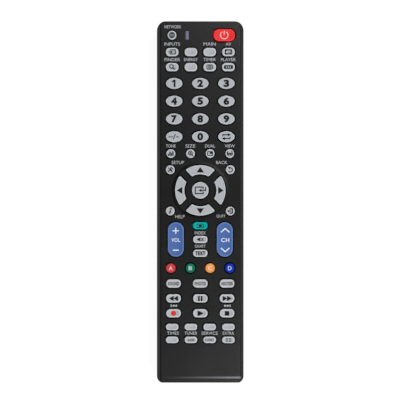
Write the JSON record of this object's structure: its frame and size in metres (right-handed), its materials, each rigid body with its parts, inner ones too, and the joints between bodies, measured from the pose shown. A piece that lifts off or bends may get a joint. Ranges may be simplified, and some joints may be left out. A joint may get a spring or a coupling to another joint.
{
  "type": "tv remote control",
  "caption": "Slim bar-shaped infrared remote control with a black case, grey and coloured press keys, a ring of direction keys, two tilting rockers and a sliding battery cover.",
  "frame": {"origin": "middle of the flat back, which the remote lies on", "axes": "+X to the right across the face, +Y along the remote towards the end that sends the infrared light, +Z out of the face"},
  "size_m": [0.048, 0.1994, 0.0221],
  "materials": {
    "case_black": "fine textured satin black",
    "key_grey": "smooth satin light grey silicone",
    "key_power_red": "smooth satin red silicone",
    "key_teal": "smooth satin teal silicone",
    "key_sky_blue": "smooth satin blue silicone",
    "key_red": "smooth satin red silicone",
    "key_green": "smooth satin green silicone",
    "key_orange": "smooth satin orange silicone",
    "key_blue": "smooth satin deep blue silicone",
    "keypad_silicone": "matte black silicone",
    "board_phenolic": "brown laminate with green resist",
    "chip_epoxy": "glossy black epoxy",
    "resonator_ceramic": "glazed ochre ceramic",
    "capacitor_sleeve": "dark blue sleeve",
    "ir_dark": "polished very dark violet, dark to the eye",
    "led_clear": "clear water-blue lens",
    "indicator_white": "pale package",
    "lens_violet": "frosted grey violet",
    "contact_nickel": "nickel plated spring steel",
    "cell_sleeve": "plain dark grey sleeve with bare ends",
    "screw_zinc": "zinc plated"
  },
  "bodies": {
    "case": {"upper_case": "case_black", "lower_case": "case_black", "keypad_sheet": "keypad_silicone", "circuit_board": "board_phenolic", "controller_chip": "chip_epoxy", "resonator": "resonator_ceramic", "capacitor": "capacitor_sleeve", "ir_window": "ir_dark", "ir_led": "led_clear", "indicator_led": "indicator_white", "indicator_lens": "lens_violet", "plate_contact": "contact_nickel", "spring_contact": "contact_nickel", "double_contact": "contact_nickel", "battery_cells": "cell_sleeve", "case_screw": "screw_zinc"},
    "battery_cover_body": {"battery_cover": "case_black"},
    "volume_rocker_body": {"volume_rocker": "key_sky_blue"},
    "channel_rocker_body": {"channel_rocker": "key_sky_blue"},
    "power_key_body": {"power_key": "key_power_red"},
    "up_key_body": {"up_key": "key_grey"},
    "down_key_body": {"down_key": "key_grey"},
    "left_key_body": {"left_key": "key_grey"},
    "right_key_body": {"right_key": "key_grey"},
    "enter_key_body": {"enter_key": "key_grey"},
    "menu_key_body": {"menu_key": "key_teal"},
    "mute_key_body": {"mute_key": "key_grey"},
    "list_key_body": {"list_key": "key_grey"},
    "red_key_body": {"red_key": "key_red"},
    "green_key_body": {"green_key": "key_green"},
    "orange_key_body": {"orange_key": "key_orange"},
    "blue_key_body": {"blue_key": "key_blue"},
    "number_5_key_body": {"number_5_key": "key_grey"},
    "play_key_body": {"play_key": "key_grey"},
    "stop_key_body": {"stop_key": "key_grey"},
    "record_key_body": {"record_key": "key_grey"},
    "source_row_keys_body": {"source_row_keys": "key_grey"},
    "picture_row_keys_body": {"picture_row_keys": "key_grey"},
    "tools_return_keys_body": {"tools_return_keys": "key_grey"},
    "info_key_body": {"info_key": "key_grey"},
    "exit_key_body": {"exit_key": "key_grey"},
    "media_row_keys_body": {"media_row_keys": "key_grey"},
    "guide_row_keys_body": {"guide_row_keys": "key_grey"},
    "lower_row_keys_body": {"lower_row_keys": "key_grey"},
    "dash_key_body": {"dash_key": "key_grey"},
    "forward_key_body": {"forward_key": "key_grey"},
    "globe_key_body": {"globe_key": "key_grey"},
    "number_0_key_body": {"number_0_key": "key_grey"},
    "number_1_key_body": {"number_1_key": "key_grey"},
    "number_2_key_body": {"number_2_key": "key_grey"},
    "number_3_key_body": {"number_3_key": "key_grey"},
    "number_4_key_body": {"number_4_key": "key_grey"},
    "number_6_key_body": {"number_6_key": "key_grey"},
    "number_7_key_body": {"number_7_key": "key_grey"},
    "number_8_key_body": {"number_8_key": "key_grey"},
    "number_9_key_body": {"number_9_key": "key_grey"},
    "pause_key_body": {"pause_key": "key_grey"},
    "rewind_key_body": {"rewind_key": "key_grey"},
    "search_row_keys_body": {"search_row_keys": "key_grey"},
    "swap_key_body": {"swap_key": "key_grey"}
  },
  "joints": [
    {"name": "battery_cover_slide", "type": "slide", "parent": "case", "child": "battery_cover_body", "axis": [0, -1, 0], "range_m": [0, 0.067]},
    {"name": "volume_rocker_tilt", "type": "hinge", "parent": "case", "child": "volume_rocker_body", "pos_m": [-0.0135, -0.0207, 0.0177], "axis": [1, 0, 0], "range_deg": [-4, 4], "stiffness_Nm_per_rad": 0.1},
    {"name": "channel_rocker_tilt", "type": "hinge", "parent": "case", "child": "channel_rocker_body", "pos_m": [0.0135, -0.0207, 0.0177], "axis": [1, 0, 0], "range_deg": [-4, 4], "stiffness_Nm_per_rad": 0.1},
    {"name": "power_key_press", "type": "slide", "parent": "case", "child": "power_key_body", "axis": [0, 0, -1], "range_m": [0, 0.001], "stiffness_N_per_m": 1000},
    {"name": "up_key_press", "type": "slide", "parent": "case", "child": "up_key_body", "axis": [0, 0, -1], "range_m": [0, 0.001], "stiffness_N_per_m": 1000},
    {"name": "down_key_press", "type": "slide", "parent": "case", "child": "down_key_body", "axis": [0, 0, -1], "range_m": [0, 0.001], "stiffness_N_per_m": 1000},
    {"name": "left_key_press", "type": "slide", "parent": "case", "child": "left_key_body", "axis": [0, 0, -1], "range_m": [0, 0.001], "stiffness_N_per_m": 1000},
    {"name": "right_key_press", "type": "slide", "parent": "case", "child": "right_key_body", "axis": [0, 0, -1], "range_m": [0, 0.001], "stiffness_N_per_m": 1000},
    {"name": "enter_key_press", "type": "slide", "parent": "case", "child": "enter_key_body", "axis": [0, 0, -1], "range_m": [0, 0.001], "stiffness_N_per_m": 1000},
    {"name": "menu_key_press", "type": "slide", "parent": "case", "child": "menu_key_body", "axis": [0, 0, -1], "range_m": [0, 0.001], "stiffness_N_per_m": 1000},
    {"name": "mute_key_press", "type": "slide", "parent": "case", "child": "mute_key_body", "axis": [0, 0, -1], "range_m": [0, 0.001], "stiffness_N_per_m": 1000},
    {"name": "list_key_press", "type": "slide", "parent": "case", "child": "list_key_body", "axis": [0, 0, -1], "range_m": [0, 0.001], "stiffness_N_per_m": 1000},
    {"name": "red_key_press", "type": "slide", "parent": "case", "child": "red_key_body", "axis": [0, 0, -1], "range_m": [0, 0.001], "stiffness_N_per_m": 1000},
    {"name": "green_key_press", "type": "slide", "parent": "case", "child": "green_key_body", "axis": [0, 0, -1], "range_m": [0, 0.001], "stiffness_N_per_m": 1000},
    {"name": "orange_key_press", "type": "slide", "parent": "case", "child": "orange_key_body", "axis": [0, 0, -1], "range_m": [0, 0.001], "stiffness_N_per_m": 1000},
    {"name": "blue_key_press", "type": "slide", "parent": "case", "child": "blue_key_body", "axis": [0, 0, -1], "range_m": [0, 0.001], "stiffness_N_per_m": 1000},
    {"name": "number_5_key_press", "type": "slide", "parent": "case", "child": "number_5_key_body", "axis": [0, 0, -1], "range_m": [0, 0.001], "stiffness_N_per_m": 1000},
    {"name": "play_key_press", "type": "slide", "parent": "case", "child": "play_key_body", "axis": [0, 0, -1], "range_m": [0, 0.001], "stiffness_N_per_m": 1000},
    {"name": "stop_key_press", "type": "slide", "parent": "case", "child": "stop_key_body", "axis": [0, 0, -1], "range_m": [0, 0.001], "stiffness_N_per_m": 1000},
    {"name": "record_key_press", "type": "slide", "parent": "case", "child": "record_key_body", "axis": [0, 0, -1], "range_m": [0, 0.001], "stiffness_N_per_m": 1000},
    {"name": "source_row_keys_press", "type": "slide", "parent": "case", "child": "source_row_keys_body", "axis": [0, 0, -1], "range_m": [0, 0.001], "stiffness_N_per_m": 1000},
    {"name": "picture_row_keys_press", "type": "slide", "parent": "case", "child": "picture_row_keys_body", "axis": [0, 0, -1], "range_m": [0, 0.001], "stiffness_N_per_m": 1000},
    {"name": "tools_return_keys_press", "type": "slide", "parent": "case", "child": "tools_return_keys_body", "axis": [0, 0, -1], "range_m": [0, 0.001], "stiffness_N_per_m": 1000},
    {"name": "info_key_press", "type": "slide", "parent": "case", "child": "info_key_body", "axis": [0, 0, -1], "range_m": [0, 0.001], "stiffness_N_per_m": 1000},
    {"name": "exit_key_press", "type": "slide", "parent": "case", "child": "exit_key_body", "axis": [0, 0, -1], "range_m": [0, 0.001], "stiffness_N_per_m": 1000},
    {"name": "media_row_keys_press", "type": "slide", "parent": "case", "child": "media_row_keys_body", "axis": [0, 0, -1], "range_m": [0, 0.001], "stiffness_N_per_m": 1000},
    {"name": "guide_row_keys_press", "type": "slide", "parent": "case", "child": "guide_row_keys_body", "axis": [0, 0, -1], "range_m": [0, 0.001], "stiffness_N_per_m": 1000},
    {"name": "lower_row_keys_press", "type": "slide", "parent": "case", "child": "lower_row_keys_body", "axis": [0, 0, -1], "range_m": [0, 0.001], "stiffness_N_per_m": 1000},
    {"name": "dash_key_press", "type": "slide", "parent": "case", "child": "dash_key_body", "axis": [0, 0, -1], "range_m": [0, 0.001], "stiffness_N_per_m": 1000},
    {"name": "forward_key_press", "type": "slide", "parent": "case", "child": "forward_key_body", "axis": [0, 0, -1], "range_m": [0, 0.001], "stiffness_N_per_m": 1000},
    {"name": "globe_key_press", "type": "slide", "parent": "case", "child": "globe_key_body", "axis": [0, 0, -1], "range_m": [0, 0.001], "stiffness_N_per_m": 1000},
    {"name": "number_0_key_press", "type": "slide", "parent": "case", "child": "number_0_key_body", "axis": [0, 0, -1], "range_m": [0, 0.001], "stiffness_N_per_m": 1000},
    {"name": "number_1_key_press", "type": "slide", "parent": "case", "child": "number_1_key_body", "axis": [0, 0, -1], "range_m": [0, 0.001], "stiffness_N_per_m": 1000},
    {"name": "number_2_key_press", "type": "slide", "parent": "case", "child": "number_2_key_body", "axis": [0, 0, -1], "range_m": [0, 0.001], "stiffness_N_per_m": 1000},
    {"name": "number_3_key_press", "type": "slide", "parent": "case", "child": "number_3_key_body", "axis": [0, 0, -1], "range_m": [0, 0.001], "stiffness_N_per_m": 1000},
    {"name": "number_4_key_press", "type": "slide", "parent": "case", "child": "number_4_key_body", "axis": [0, 0, -1], "range_m": [0, 0.001], "stiffness_N_per_m": 1000},
    {"name": "number_6_key_press", "type": "slide", "parent": "case", "child": "number_6_key_body", "axis": [0, 0, -1], "range_m": [0, 0.001], "stiffness_N_per_m": 1000},
    {"name": "number_7_key_press", "type": "slide", "parent": "case", "child": "number_7_key_body", "axis": [0, 0, -1], "range_m": [0, 0.001], "stiffness_N_per_m": 1000},
    {"name": "number_8_key_press", "type": "slide", "parent": "case", "child": "number_8_key_body", "axis": [0, 0, -1], "range_m": [0, 0.001], "stiffness_N_per_m": 1000},
    {"name": "number_9_key_press", "type": "slide", "parent": "case", "child": "number_9_key_body", "axis": [0, 0, -1], "range_m": [0, 0.001], "stiffness_N_per_m": 1000},
    {"name": "pause_key_press", "type": "slide", "parent": "case", "child": "pause_key_body", "axis": [0, 0, -1], "range_m": [0, 0.001], "stiffness_N_per_m": 1000},
    {"name": "rewind_key_press", "type": "slide", "parent": "case", "child": "rewind_key_body", "axis": [0, 0, -1], "range_m": [0, 0.001], "stiffness_N_per_m": 1000},
    {"name": "search_row_keys_press", "type": "slide", "parent": "case", "child": "search_row_keys_body", "axis": [0, 0, -1], "range_m": [0, 0.001], "stiffness_N_per_m": 1000},
    {"name": "swap_key_press", "type": "slide", "parent": "case", "child": "swap_key_body", "axis": [0, 0, -1], "range_m": [0, 0.001], "stiffness_N_per_m": 1000}
  ]
}
